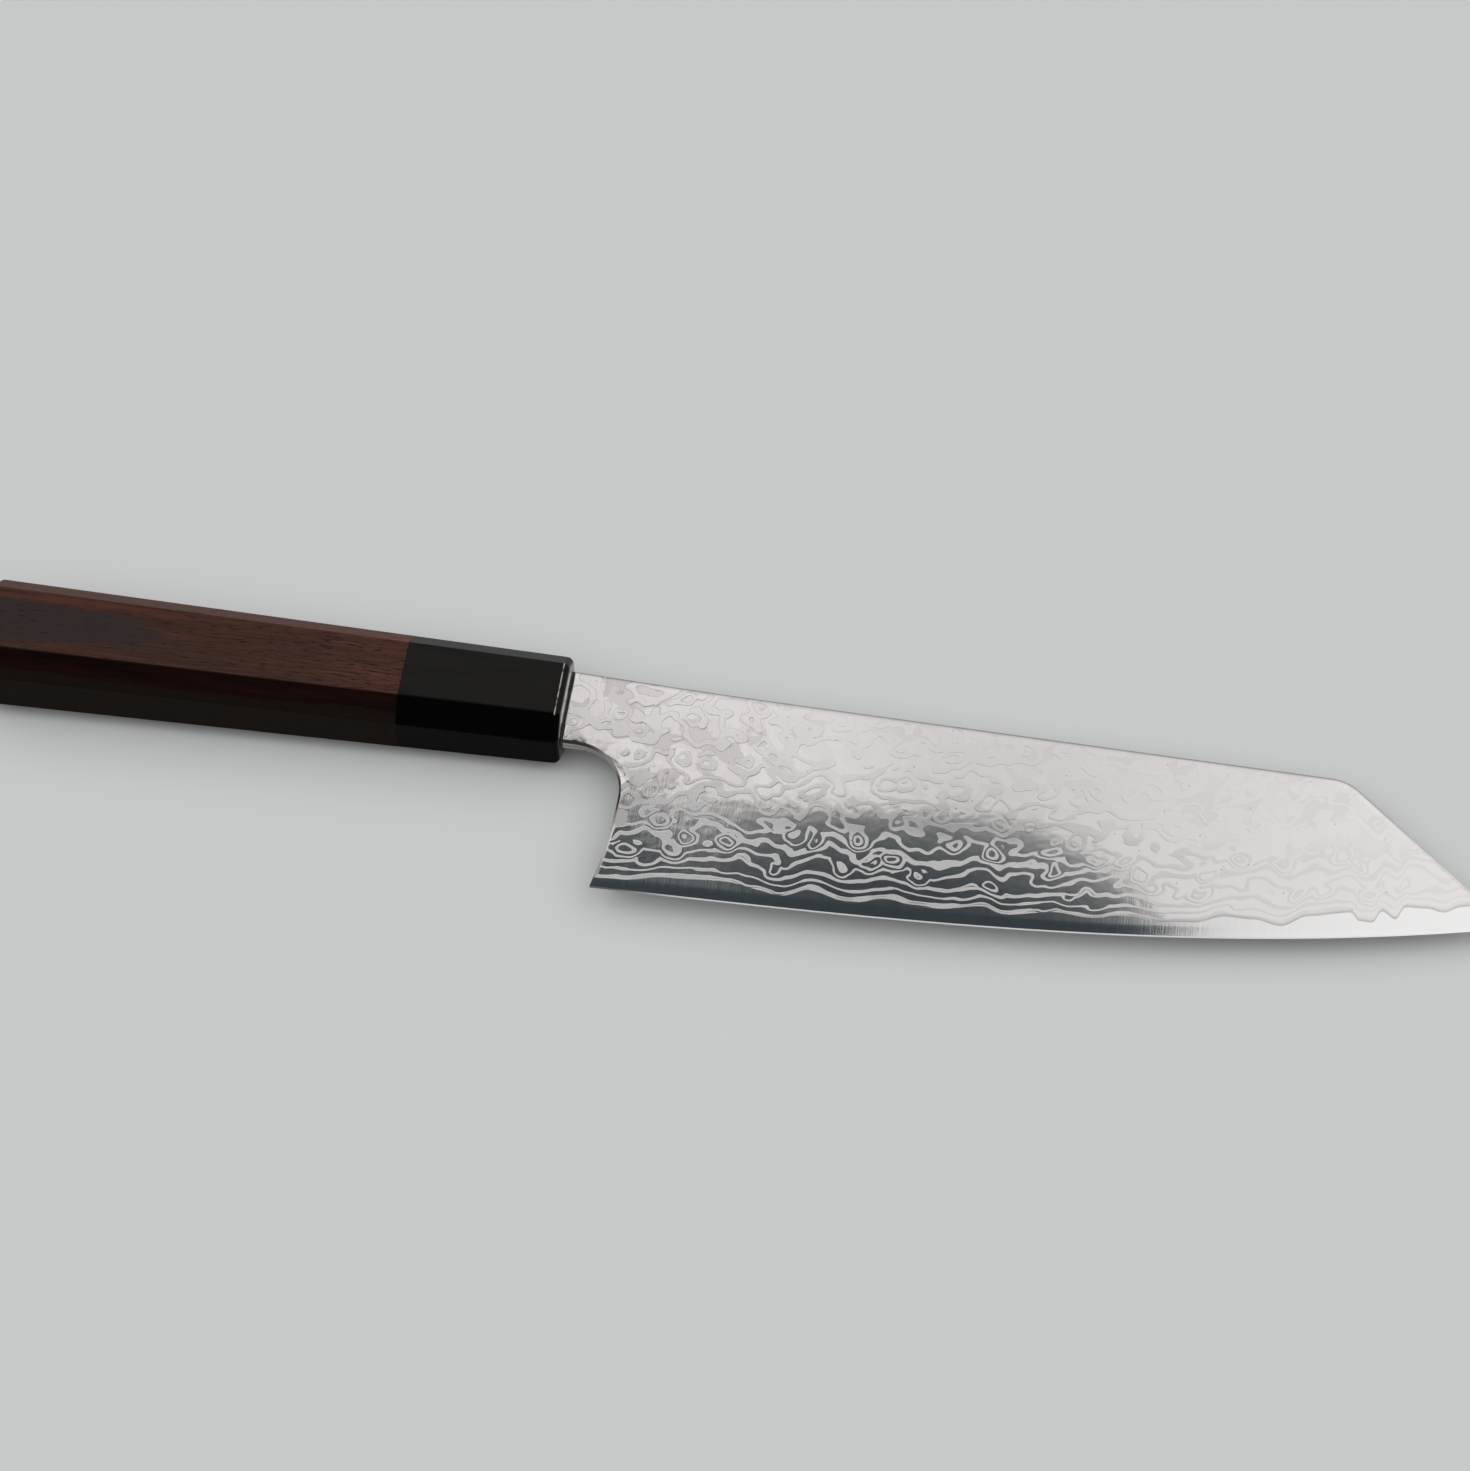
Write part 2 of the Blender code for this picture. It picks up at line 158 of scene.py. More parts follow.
FLECK_PLACE = (14.9, 16.6)
FLECK_CELL = (2.5, 2.7)
FLECK_RIM_CELL = (2.0, 1.8)
PITS_PER_MM = 0.085

# Between which distances the steel's finish changes, in millimetres along the blade, and above
# the weld line or the edge
LINES_FADE_ALONG = (20.0, 68.0)
SEAM_SETS_IN_ALONG = (98.0, 122.0)
EDGE_CLEARS_ALONG = (14.0, 34.0)
CORE_PALES_ALONG = (128.0, 165.0)
UPPER_FACE_ABOVE_WELD = (13.0, 19.0)
HONED_ABOVE_EDGE = (0.30, 0.36)

# Depth of the finest relief, in metres
GRINDING_DEPTH = 0.0000012
RIPPLE_DEPTH = 0.000004
LAYER_DEPTH = 0.000004
CORE_GRINDING_DEPTH = 0.0000026
WOOD_GRAIN_DEPTH = 0.00003
FERRULE_GRAIN_DEPTH = 0.000004
RESIN_GRAIN_DEPTH = 0.000003

# Handle's chamfers, in millimetres: how fast they close in on the axis for each one along it,
# and between which distances from it the painted shade on the edge side, the painted light on
# the wood's spine side and the chamfers' lower gloss set in
CHAMFER_TAPER = 0.0089
CHAMFER_START = (5.8, 6.3)
FERRULE_EDGE_CHAMFER_START = (5.6, 6.2)

# Marks on the handle, in millimetres along it and across: the greyish patch of painted sheen at
# the butt, the red streak on the spine side, and the painted highlight line on the ferrule's
# arris
SHEEN_PATCH_START = 128.0
SHEEN_PATCH_LENGTH = 42.0
SHEEN_PATCH_HALF_WIDTH = 5.0
STREAK_ACROSS = 7.2
HIGHLIGHT_LINE_BEHIND_FRONT = 1.25

# Camera, from the photograph's perspective: what it aims at, and from where
AIM = (-0.00098, 0.01348, 0.008)
CAMERA_AZIMUTH = 10.714
CAMERA_ELEVATION = 58.764
CAMERA_ROLL = -2.58
CAMERA_DISTANCE = 0.82924
CAMERA_LENS = 97.84
SENSOR_WIDTH = 36
NEAREST_SEEN = 0.01
FARTHEST_SEEN = 50

# Studio: floor, key light, and a flag, which is a grey card that the steel mirrors near the
# edge. The card's rim bends, and its shade changes between two distances from that rim.
FLOOR_SIZE = 14.0
LIGHT_COLOUR = (1.0, 0.99, 0.985)
KEY_LIGHT_PLACE = (-1.6, -0.6, 3.9)
KEY_LIGHT_SIZE = 1.8
KEY_LIGHT_BRIGHTNESS = 1.2
FLAG_HEIGHT = 1.5
FLAG_OUTLINE = (
    (-0.340, 0.450), (-0.340, 0.704), (-0.146, 0.708), (-0.130, 0.732), (-0.117, 0.751),
    (-0.106, 0.769), (-0.097, 0.781), (-0.087, 0.789), (-0.069, 0.798), (-0.043, 0.804),
    (-0.015, 0.811), (0.013, 0.816), (0.043, 0.818), (0.062, 0.815), (0.078, 0.810),
    (0.095, 0.802), (0.110, 0.792), (0.130, 0.773), (0.141, 0.754), (0.153, 0.740),
    (0.172, 0.728), (0.180, 0.450))
FLAG_BEND = 3.4
FLAG_BEND_LOSS = 4.5
FLAG_SHADED_BETWEEN = (0.706, 0.836)
FLAG_SHADES = (
    (0.12, (0.080, 0.100, 0.113)), (0.30, (0.099, 0.121, 0.134)), (0.47, (0.144, 0.166, 0.178)),
    (0.60, (0.213, 0.236, 0.248)), (0.72, (0.34, 0.353, 0.358)), (0.83, (0.52, 0.532, 0.535)),
    (0.90, (0.75, 0.76, 0.76)))

# Brightness of the studio by direction: axis, from, to, level before, level after
STUDIO_LEVELS = ((0, -0.050, -0.022, 1.17, 1.0), (0, -0.02, 0.16, 0.83, 1.08),
                 (1, -0.90, -0.45, 0.05, 1.0))
MATT_LEVELS = STUDIO_LEVELS + ((1, -0.15, 0.45, 1.6, 1.0), (1, 0.56, 0.75, 1.0, 0.25),
                               (2, 0.20, 0.80, 0.20, 1.0))
MIRRORED_LEVELS = STUDIO_LEVELS + ((1, 0.56, 0.75, 1.0, 0.70), (2, 0.10, 0.70, 0.45, 1.0))


def smoothstep(t):
    """Smooth rise from 0 to 1 as t does."""
    t = min(max(t, 0.0), 1.0)
    return t * t * (3 - 2 * t)


def blend(a, b, t):
    """Value that lies a share t of the way from a to b."""
    return a + (b - a) * t


# Outline of the blade

def edge_y(x):
    """The cutting edge: a straight rise from the heel and a cubic belly."""
    t = (x - HEEL_X) / EDGE_LENGTH
    return -HEEL_BELOW_AXIS + EDGE_RISE_STRAIGHT * t + EDGE_RISE_BELLY * max(t, 0.0) ** 3


def shoulder_arc():
    """Centre of the rounding between spine and tip slope, and where it starts and ends."""
    turn = math.atan(SPINE_SLOPE) - math.atan(TIP_SLOPE)
    reach = TIP_SHOULDER_RADIUS * math.tan(turn / 2)
    along_spine = Vector((1, SPINE_SLOPE)).normalized()
    along_tip = Vector((1, TIP_SLOPE)).normalized()
    corner = Vector((SHOULDER_X, SHOULDER_Y))
    start = corner - along_spine * reach
    end = corner + along_tip * reach
    centre = start + Vector((along_spine.y, -along_spine.x)) * TIP_SHOULDER_RADIUS
    return centre, start.x, end.x


SHOULDER_CENTRE, SHOULDER_START, SHOULDER_END = shoulder_arc()


def spine_y(x):
    """The spine, its rounded shoulder and the straight slope to the tip."""
    if x <= SHOULDER_START:
        return SPINE_ABOVE_AXIS + SPINE_SLOPE * x
    if x < SHOULDER_END:
        run = x - SHOULDER_CENTRE.x
        return SHOULDER_CENTRE.y + math.sqrt(TIP_SHOULDER_RADIUS ** 2 - run ** 2)
    return SHOULDER_Y + TIP_SLOPE * (x - SHOULDER_X)


def weld_y(x):
    """Lower border of the cladding, waved as the forging left it."""
    places = [place for place, _ in WELD_LINE]
    after = min(max(bisect(places, x), 1), len(WELD_LINE) - 1)
    (near, low), (far, high) = WELD_LINE[after - 1], WELD_LINE[after]
    return edge_y(x) + blend(low, high, smoothstep((x - near) / (far - near)))


def choil_distance(x, y):
    """How far a point of the blade is from the hollow behind the heel."""
    if y < CHOIL_Y:
        return math.hypot(x - CHOIL_X + HEEL_ARC_RADIUS, y - CHOIL_Y) - HEEL_ARC_RADIUS
    if x < NECK_STRAIGHT:
        return y + NECK_BELOW_AXIS
    return math.hypot(x - NECK_STRAIGHT, y - CHOIL_Y) - CHOIL_RADIUS


def spine_distance(x, y):
    """How far a point of the blade is from its spine or its tip slope."""
    slope = TIP_SLOPE if x > SHOULDER_X else SPINE_SLOPE
    return (spine_y(x) - y) / math.hypot(1, slope)


# Thickness of the blade

def face_half(x, y):
    """Half the blade's thickness: a convex grind that thins from neck to tip."""
    taper = (1 - min(x / SHOULDER_X, 1.0)) ** TAPER_POWER
    spine = blend(SHOULDER_HALF, NECK_HALF, taper)
    low = edge_y(x) + BEVEL_HEIGHT
    if y < low:
        return blend(EDGE_HALF, BEVEL_HALF, max(y - edge_y(x), 0.0) / BEVEL_HEIGHT)
    t = (y - low) / (SPINE_ABOVE_AXIS + SPINE_SLOPE * x - low)
    crown = blend(NECK_CROWN, FACE_CROWN, smoothstep(x / NECK_CROWN_FADE))
    return BEVEL_HALF + (spine - BEVEL_HALF) * t * (1 + crown * (1 - t))


def core_half(x, y):
    """Half the core's thickness: the ground face below the weld, a flat sheet above it."""
    return max(min(face_half(x, y) - (WELD_STEP if y > edge_y(x) + BEVEL_HEIGHT else 0),
                   CORE_HALF), EDGE_HALF)


def cladding_inside(x, y):
    """Inner face of a cladding, a hair's breadth off the core."""
    return core_half(x, y) + WELD_GAP / 2


def cladding_outside(x, y):
    """Outer face of a cladding: rounded over at the spine, bevelled along neck and choil."""
    face, inside = face_half(x, y), cladding_inside(x, y)
    room = EASING_SHARE * (face - inside)
    into = min(max(1 - spine_distance(x, y) / SPINE_EASING, 0.0), 1.0)
    rounding = min(SPINE_EASING_DEPTH, room) * (1 - math.sqrt(1 - into ** 2))
    into = min(max(1 - choil_distance(x, y) / CHOIL_BEVEL, 0.0), 1.0)
    return face - max(rounding, min(CHOIL_BEVEL_DEPTH, room) * into)


# Grid of the blade

def choil_point(s):
    """Point of the neck's lower side and the choil's upper arc, from ferrule to choil."""
    straight = NECK_STRAIGHT - NECK_END_X
    along = s * (straight + CHOIL_RADIUS * math.pi / 2)
    if along < straight:
        return Vector((NECK_END_X + along, -NECK_BELOW_AXIS))
    angle = math.pi / 2 - (along - straight) / CHOIL_RADIUS
    return Vector((NECK_STRAIGHT + CHOIL_RADIUS * math.cos(angle),
                   CHOIL_Y + CHOIL_RADIUS * math.sin(angle)))


def station(index, count, length, eased_start=False, eased_end=False):
    """Distance of one of count stations along a length, drawn close together at eased ends."""
    rings = len(EASING_RINGS) - 1
    shrink = min(1.0, length / EASED_LENGTH)
    first, last = (rings if eased_start else 0), count - (rings if eased_end else 0)
    if index < first:
        return EASING_RINGS[index] * shrink
    if index > last:
        return length - EASING_RINGS[count - index] * shrink
    start = EASING_RINGS[first] * shrink
    end = length - EASING_RINGS[count - last] * shrink
    return blend(start, end, (index - first) / (last - first))


def neck_plan(column, row):
    """Place of a grid point between the ferrule and the line from choil to spine."""
    s = column / NECK_COLUMNS
    foot = choil_point(s)
    x = blend(NECK_END_X, NECK_ROOT_X, s)
    head = Vector((x, spine_y(x)))
    along = station(row - HEEL_ROWS, NECK_ROWS, (head - foot).length, True, True)
    return foot.lerp(head, along / (head - foot).length)


class BladePlan:
    """Places of a grid's points on the blade, seen from the side, above a given lower border."""

    def __init__(self, border, end):
        self.border, self.end = border, end
        self.rows = HEEL_ROWS + NECK_ROWS
        lines = [neck_plan(NECK_COLUMNS, row) for row in range(HEEL_ROWS, self.rows + 1)]
        self.depths = [spine_y(p.x) - p.y for p in lines]
        self.free = NECK_ROWS - len(EASING_RINGS) + 1
        self.left = {HEEL_ROWS + k: p.x for k, p in enumerate(lines)}
        self.share = {HEEL_ROWS + k: self.share_of(lines[k]) for k in range(self.free + 1)}
        for row in range(HEEL_ROWS):
            self.share[row] = self.share[HEEL_ROWS] * row / HEEL_ROWS
            self.left[row] = self.heel_x(self.share[row])

    def top(self, x):
        """Height of the last row before the eased rim of the spine."""
        height = spine_y(x) - self.border(x)
        return spine_y(x) - self.depths[self.free] * min(1.0, height / EASED_LENGTH)

    def share_of(self, point):
        """Height of a point, as a share of the way up to the last row before the rim."""
        low = self.border(point.x)
        return (point.y - low) / (self.top(point.x) - low)

    def heel_x(self, share):
        """Where a row meets the arc from choil to heel."""
        x = CHOIL_X
        for _ in range(HEEL_SEARCH_STEPS):
            y = blend(self.border(x), self.top(x), share)
            x = CHOIL_X - HEEL_ARC_RADIUS + math.sqrt(HEEL_ARC_RADIUS ** 2 - (y - CHOIL_Y) ** 2)
        return x

    def place(self, column, row):
        """Where a grid point lies on the blade."""
        if column < NECK_COLUMNS:
            return neck_plan(column, row)
        left = self.left[row]
        x = left + station(column - NECK_COLUMNS, BLADE_COLUMNS, self.end - left, True)
        if row in self.share:
            return Vector((x, blend(self.border(x), self.top(x), self.share[row])))
        spine = spine_y(x)
        depth = self.depths[row - HEEL_ROWS] / self.depths[self.free]
        return Vector((x, spine - (spine - self.top(x)) * depth))


def laid_down():
    """The knife's own frame, laid on the table on its handle's flat side."""
    sine, cosine = math.sin(REST_TILT), math.cos(REST_TILT)
    front = TIP_X * cosine
    back = -HANDLE_LENGTH * cosine - (BUTT_WIDTH / 2 - BUTT_EASING) * sine
    place = Vector((-(front + back) / 2, -(BUTT_HEIGHT / 2 - HEEL_BELOW_AXIS) / 2,
                    FRONT_WIDTH / 2 * cosine))
    return Matrix.Translation(place) @ Matrix.Rotation(REST_TILT, 4, "Y")


REST = laid_down()


def blade_slab(border, end, inside, outside):
    """Closed sheet of steel over the blade's outline, above a given lower border."""
    plan = BladePlan(border, end)
    columns = NECK_COLUMNS + BLADE_COLUMNS
    bm = bmesh.new()
    bmesh.ops.create_grid(bm, x_segments=columns, y_segments=plan.rows, size=1)
    behind_heel = []
    for vert in bm.verts:
        column = round((vert.co.x + 1) / 2 * columns)
        row = round((vert.co.y + 1) / 2 * plan.rows)
        if column < NECK_COLUMNS and row < HEEL_ROWS:
            behind_heel.append(vert)
        else:
            vert.co = (*plan.place(column, row), 0)
    bmesh.ops.delete(bm, geom=behind_heel, context="VERTS")
    bmesh.ops.remove_doubles(bm, verts=bm.verts, dist=MERGE)
    sheet = bmesh.ops.extrude_face_region(bm, geom=bm.faces[:], use_keep_orig=True)
    raised = {item for item in sheet["geom"] if isinstance(item, bmesh.types.BMVert)}
    for vert in bm.verts:
        surface = outside if vert in raised else inside
        vert.co.z = surface(vert.co.x, vert.co.y)
    bmesh.ops.recalc_face_normals(bm, faces=bm.faces)
    return bm


def note_forging(bm):
    """Store where each point of the blade lies, for the steel's patterns.

    forging: along the blade, above the edge, above the weld line. border: in from the choil, out
    from the blade's middle, in from the spine.
    """
    forging = bm.verts.layers.float_vector.new("forging")
    border = bm.verts.layers.float_vector.new("border")
    for vert in bm.verts:
        x, y, z = vert.co
        vert[forging] = (x, y - edge_y(x), y - weld_y(x))
        vert[border] = (choil_distance(x, y), z, spine_distance(x, y))


def finish_piece(bm, name, node, finish, smooth_angle):
    """Lay a piece down and hand it over."""
    bmesh.ops.transform(bm, matrix=REST, verts=bm.verts)
    mesh = bpy.data.meshes.new(name)
    bm.to_mesh(mesh)
    bm.free()
    mesh.materials.append(finish)
    mesh.shade_smooth()
    mesh.set_sharp_from_angle(angle=math.radians(smooth_angle))
    piece = bpy.data.objects.new(name, mesh)
    bpy.context.scene.collection.objects.link(piece)
    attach(piece, "root")
    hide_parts(node)
    return piece


def tang(bm):
    """Flat bar that runs from inside the neck back into the handle."""
    made = bmesh.ops.create_cube(bm, size=1)["verts"]
    for vert in made:
        behind = vert.co.x < 0
        x = -TANG_LENGTH if behind else TANG_IN_NECK
        height = TANG_END_HEIGHT if behind else TANG_HEIGHT
        thickness = TANG_END_THICKNESS if behind else TANG_THICKNESS
        vert.co = (x, vert.co.y * height, vert.co.z * thickness)


def meeting_x():
    """Where the weld line runs out into the tip slope."""
    low, high = SHOULDER_X, TIP_X
    for _ in range(TIP_SEARCH_STEPS):
        middle = (low + high) / 2
        low, high = (middle, high) if spine_y(middle) > weld_y(middle) else (low, middle)
    return low


def make_blade(core_steel, patterned_steel):
    """Core with the tang, and a cladding on each side of it."""
    core = blade_slab(edge_y, TIP_X, lambda x, y: -core_half(x, y), core_half)
    tang(core)
    note_forging(core)
    finish_piece(core, "blade_core_steel", "blade_core", core_steel,
                 CORE_SHARP_ANGLE)
    for side, name in ((1, "front"), (-1, "back")):
        skin = blade_slab(weld_y, meeting_x(), cladding_inside, cladding_outside)
        bmesh.ops.scale(skin, vec=(1, 1, side), verts=skin.verts)
        bmesh.ops.recalc_face_normals(skin, faces=skin.faces)
        note_forging(skin)
        finish_piece(skin, name + "_cladding", "cladding_" + name,
                     patterned_steel, CLADDING_SHARP_ANGLE)


def make_handle_part(name, node, finish):
    """Copy of a handle solid with its long edges eased."""
    bm = bmesh.new()
    bm.from_mesh(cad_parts[node].data)
    bmesh.ops.remove_doubles(bm, verts=bm.verts, dist=CAD_MERGE)
    bmesh.ops.transform(bm, matrix=REST.inverted(), verts=bm.verts)
    bmesh.ops.dissolve_limit(bm, angle_limit=math.radians(SAME_FACE_ANGLE), verts=bm.verts,
                             edges=bm.edges)
    long_edges = []
    for edge in bm.edges:
        a, b = (v.co for v in edge.verts)
        on_hull = min(math.hypot(a.y, a.z), math.hypot(b.y, b.z)) > HANDLE_HULL_RADIUS
        if on_hull and abs(a.x - b.x) > LONG_EDGE_RUN:
            long_edges.append(edge)
    bmesh.ops.bevel(bm, geom=long_edges, offset=LONG_EDGE_EASING, offset_type="OFFSET",
                    segments=LONG_EDGE_SEGMENTS, profile=0.5, affect="EDGES", material=-1,
                    clamp_overlap=True)
    own = bm.verts.layers.float_vector.new("handle")
    for vert in bm.verts:
        vert[own] = vert.co
    piece = finish_piece(bm, name, node, finish, HANDLE_SHARP_ANGLE)
    weighted = piece.modifiers.new("flat_faces", "WEIGHTED_NORMAL")
    weighted.keep_sharp = True
    weighted.weight = 100


# Finishes

class Finish:
    """A node material, with short ways to add nodes and join them."""

    def __init__(self, name):
        self.material = bpy.data.materials.new(name)
        self.material.use_nodes = True
        self.tree = self.material.node_tree
        self.shader = self.tree.nodes["Principled BSDF"]

    def feed(self, socket, value):
        """Join a node's output to a socket, or give the socket a plain value."""
        if isinstance(value, bpy.types.NodeSocket):
            self.tree.links.new(value, socket)
        else:
            socket.default_value = value

    def node(self, kind, inputs=(), **settings):
        """Add a node, make its settings and feed its inputs."""
        made = self.tree.nodes.new("ShaderNode" + kind)
        for key, value in settings.items():
            setattr(made, key, value)
        for key, value in dict(inputs).items():
            self.feed(made.inputs[key], value)
        return made

    def set(self, **values):
        """Feed the shader's own sockets; an underscore stands for a space."""
        for key, value in values.items():
            self.feed(self.shader.inputs[key.replace("_", " ")], value)

    def calc(self, operation, *values):
        """Result of an operation on numbers or nodes' outputs."""
        return self.node("Math", dict(enumerate(values)), operation=operation).outputs[0]

    def plus(self, first, second):
        return self.calc("ADD", first, second)

    def minus(self, first, second):
        return self.calc("SUBTRACT", first, second)

    def times(self, first, second):
        return self.calc("MULTIPLY", first, second)

    def over(self, first, second):
        return self.calc("DIVIDE", first, second)

    def off_middle(self, value):
        """How far a value's fraction is from a half."""
        return self.calc("ABSOLUTE", self.minus(self.calc("FRACT", value), 0.5))

    def parts(self, vector):
        """The three parts of a vector."""
        return self.node("SeparateXYZ", {0: vector}).outputs

    def whole(self, *parts):
        """Vector made of its three parts."""
        return self.node("CombineXYZ", dict(enumerate(parts))).outputs[0]

    def reach(self, along, up):
        """Length of the vector that runs so far along and up."""
        inputs = {0: self.whole(along, up, 0.0)}
        return self.node("VectorMath", inputs, operation="LENGTH").outputs["Value"]

    def stretched(self, vector, scale, shift=(0, 0, 0)):
        """Vector scaled along each axis, then shifted."""
        inputs = {"Vector": vector, "Scale": scale, "Location": shift}
        return self.node("Mapping", inputs).outputs[0]

    def millimetres(self, attribute):
        """Place that a mesh stores for each point, in millimetres."""
        where = self.node("Attribute", attribute_name=attribute).outputs["Vector"]
        return self.stretched(where, (1000, 1000, 1000))

    def cells(self, along, up, cell, layer):
        """Place counted in cells of a given length and height, in one layer of a noise."""
        return self.whole(self.over(along, cell[0]), self.over(up, cell[1]), layer)

    def noise(self, vector, detail=2.0, roughness=0.5):
        """Smooth noise at a place; more detail adds finer octaves."""
        inputs = {"Vector": vector, "Scale": 1.0, "Detail": detail, "Roughness": roughness}
        return self.node("TexNoise", inputs).outputs["Fac"]

    def span(self, value, low, high, start=0.0, end=1.0, smooth=True):
        """Carry a value from one range to another, and stop at the ends."""
        inputs = {"Value": value, "From Min": low, "From Max": high, "To Min": start,
                  "To Max": end}
        kind = "SMOOTHSTEP" if smooth else "LINEAR"
        return self.node("MapRange", inputs, interpolation_type=kind).outputs[0]

    def ramp(self, value, stops):
        """Colour ramp through stops of a place and a colour."""
        made = self.node("ValToRGB", {"Fac": value})
        elements = made.color_ramp.elements
        while len(elements) < len(stops):
            elements.new(0.5)
        for element, (place, colour) in zip(elements, stops):
            element.position = place
            element.color = (*colour, 1)
        return made.outputs["Color"]

    def mix(self, share, first, second, how="MIX"):
        """Mix two colours, each a node's output or a plain colour."""
        made = self.node("Mix", {0: share}, data_type="RGBA", blend_type=how)
        for index, colour in ((6, first), (7, second)):
            plain = not isinstance(colour, bpy.types.NodeSocket)
            self.feed(made.inputs[index], (*colour, 1) if plain else colour)
        return made.outputs[2]

    def bump(self, height, distance, normal=None):
        """Surface direction tilted by a height, on top of an earlier relief if one is given."""
        inputs = {"Height": height, "Distance": distance, "Strength": 1.0}
        if normal is not None:
            inputs["Normal"] = normal
        return self.node("Bump", inputs).outputs["Normal"]


def brushing(finish, along, up):
    """Fine and broad grinding lines across the edge."""
    fine = finish.whole(finish.times(along, 5.0), finish.times(up, 0.12), 0.0)
    broad = finish.whole(finish.times(along, 0.9), finish.times(up, 0.06), 4.0)
    return finish.noise(fine, detail=3.0), finish.noise(broad)


def layers_below(finish, along, up, side):
    """How many layers lie below a point: slow folds, crimps and hammered dimples."""
    folds = finish.noise(finish.cells(along, up, FOLD_CELL, side), detail=1.0, roughness=0.4)
    crimps = finish.noise(finish.cells(along, up, CRIMP_CELL, side), detail=0.0)
    pulled = finish.times(crimps, CRIMP_PULL)
    struck = finish.whole(
        finish.plus(finish.over(finish.plus(along, pulled), DIMPLE_CELL[0]), side),
        finish.over(finish.minus(up, pulled), DIMPLE_CELL[1]), 0.0)
    struck = finish.node("TexVoronoi", {"Vector": struck, "Scale": 1.0},
                         voronoi_dimensions="2D").outputs["Distance"]
    dimples = finish.times(finish.span(struck, 0.03, 0.37, DIMPLE_LIFT, 0.0),
                           finish.span(up, 10.0, 22.0, 1.0, 0.45))
    swell = finish.times(finish.minus(folds, 0.5), FOLD_LIFT)
    swell = finish.plus(swell, finish.times(finish.minus(crimps, 0.5), CRIMP_LIFT))
    swell = finish.plus(swell, dimples)
    calm = finish.plus(finish.span(up, 0.0, 8.0, 0.10, 1.0),
                       finish.span(up, 10.0, 20.0, 0.0, 0.1))
    rise = finish.times(finish.calc("TANH", finish.over(up, RISE_FADE)),
                        LAYERS_PER_MM * RISE_FADE)
    rise = finish.plus(rise, finish.span(up, 0.0, 6.0, 0.0, 0.95))
    return finish.plus(rise, finish.times(swell, calm))


def layer_slope(finish, along, up, side, here):
    """How steeply the layers rise, evened out towards the spine."""
    across = layers_below(finish, finish.plus(along, SLOPE_STEP), up, side)
    above = layers_below(finish, along, finish.plus(up, SLOPE_STEP), side)
    runs = [finish.over(finish.minus(value, here), SLOPE_STEP) for value in (across, above)]
    evened = finish.span(up, 9.0, 20.0, 0.72, 0.30)
    return finish.plus(finish.times(finish.reach(*runs), evened),
                       finish.times(finish.minus(1.0, evened), EVEN_SLOPE))


def pale_lines(finish, along, up, side):
    """The pale steel's lines, some in pairs, the painted shade of their relief round them and
    their dull core.
    """
    here = layers_below(finish, along, up, side)
    slope = layer_slope(finish, along, up, side, here)
    singles = finish.off_middle(finish.plus(here, SINGLE_LINE_SHIFT))
    pairs = finish.off_middle(finish.plus(finish.times(here, 0.5), PAIRED_LINE_SHIFT))
    pairs = finish.times(pairs, 2.0)
    nearest = finish.over(finish.calc("MINIMUM", singles, pairs), slope)
    swelling = finish.noise(finish.cells(along, up, SWELLING_CELL, side), detail=0.0)
    half = finish.times(finish.span(swelling, 0.52, 0.74, 1.0, 3.0),
                        finish.span(up, 2.0, 14.0, 0.20, 0.42, smooth=False))
    widest = finish.over(finish.span(up, 11.0, 16.0, 0.19, 0.26), slope)
    inside = finish.minus(finish.calc("MINIMUM", half, widest), nearest)
    # Painted shade: a dark band round each line, wider on the island side, as if the lines stood
    # raised
    relief_shade = finish.times(finish.span(inside, -0.34, -0.04),
                           finish.span(inside, -0.02, 0.10, 1.0, 0.0))
    return finish.span(inside, -0.05, 0.05), relief_shade, finish.span(inside, 0.06, 0.18)


def steel_patches(finish, along, up, side):
    """Soft patches of slightly different brightness, like scales under the polish."""
    warp = finish.noise(finish.cells(along, up, PATCH_WARP_CELL, side), detail=1.0)
    warp = finish.times(warp, 1.3)
    place = finish.whole(finish.plus(finish.over(along, PATCH_CELL[0]), warp),
                         finish.minus(finish.over(up, PATCH_CELL[1]), warp), 0.0)
    scales = finish.node("TexVoronoi", {"Vector": place, "Scale": 1.0, "Smoothness": 0.16},
                         voronoi_dimensions="2D", feature="SMOOTH_F1")
    return finish.parts(scales.outputs["Color"])[0]


def polish_fleck(finish, along, above_edge, up):
    """One dull fleck by the choil, where the polish missed a spot."""
    away = finish.reach(finish.over(finish.minus(along, FLECK_PLACE[0]), FLECK_CELL[0]),
                        finish.over(finish.minus(above_edge, FLECK_PLACE[1]), FLECK_CELL[1]))
    ragged = finish.noise(finish.cells(along, up, FLECK_RIM_CELL, 9.0))
    return finish.span(finish.plus(away, finish.times(ragged, 1.1)), 1.22, 1.42, 0.70, 0.0)


